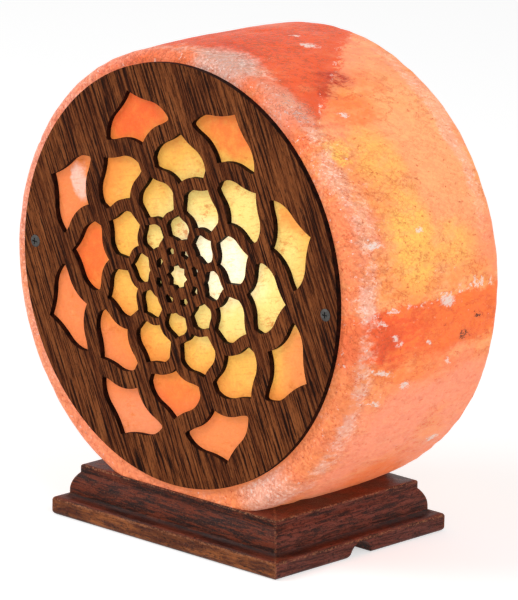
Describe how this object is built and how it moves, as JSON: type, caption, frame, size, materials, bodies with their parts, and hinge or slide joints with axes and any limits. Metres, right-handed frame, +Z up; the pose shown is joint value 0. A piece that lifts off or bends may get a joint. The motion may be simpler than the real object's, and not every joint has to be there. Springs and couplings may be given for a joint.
{
  "type": "salt crystal table lamp",
  "caption": "Round rock-salt lamp disc with a carved lotus fretwork face on a moulded rectangular wooden plinth; screw-in bulb in a pull-out spring-clip holder below.",
  "frame": {"origin": "middle of the plinth's underside, on the axis of the bulb, its holder and the bored cavity", "axes": "+Z up; -Y is the fretwork front; +X is the side where the cord groove leaves"},
  "size_m": [0.224, 0.1174, 0.237],
  "materials": {
    "plinth_wood": "dark reddish brown stain under satin lacquer, worn pale on the edges",
    "panel_wood": "dark stained thin board, matt, with charred cut edges",
    "rock_salt": null,
    "dark_screw": "blackened steel",
    "plated_steel": "zinc plated",
    "plug_plastic": "moulded nylon",
    "holder_plastic": "white phenolic",
    "ceramic": "glazed ceramic",
    "brass": "plain",
    "spring_steel": "tempered strip",
    "black_plastic": "moulded nylon",
    "bulb_glass": "clear",
    "bulb_metal": "thin rolled shell",
    "black_glass": "fused insulating glass",
    "solder": "dull",
    "tungsten": "drawn wire"
  },
  "bodies": {
    "base": {"base_plinth": "plinth_wood", "salt_drum": "rock_salt", "lotus_panel": "panel_wood", "panel_screws": "dark_screw", "panel_anchors": "plug_plastic", "base_screws": "plated_steel", "base_anchors": "plug_plastic"},
    "holder": {"holder_cap": "holder_plastic", "holder_skirt": "holder_plastic", "terminal_block": "ceramic", "terminal_screws": "brass", "screw_shell": "brass", "contact_tongue": "brass", "cord_bush": "black_plastic", "bush_nut": "brass", "clip_spring": "spring_steel"},
    "bulb_tip": {"bulb_contact": "solder"},
    "bulb": {"bulb_glass": "bulb_glass", "bulb_cap": "bulb_metal", "bulb_insulator": "black_glass", "bulb_stem": "bulb_glass", "bulb_filament": "tungsten", "lead_wires": "tungsten", "support_wires": "tungsten"}
  },
  "joints": [
    {"name": "holder_slide", "type": "slide", "parent": "base", "child": "holder", "axis": [0, 0, -1], "range_m": [0, 0.15]},
    {"name": "bulb_advance", "type": "slide", "parent": "holder", "child": "bulb_tip", "axis": [0, 0, 1], "range_m": [0, 0.0142]},
    {"name": "bulb_turn", "type": "hinge", "parent": "bulb_tip", "child": "bulb", "pos_m": [0, 0, 0], "axis": [0, 0, 1], "range_deg": [0, 1800]}
  ],
  "couplings": [
    {"joint": "bulb_advance", "follows": "bulb_turn", "m_per_rad": 0.00044913}
  ]
}
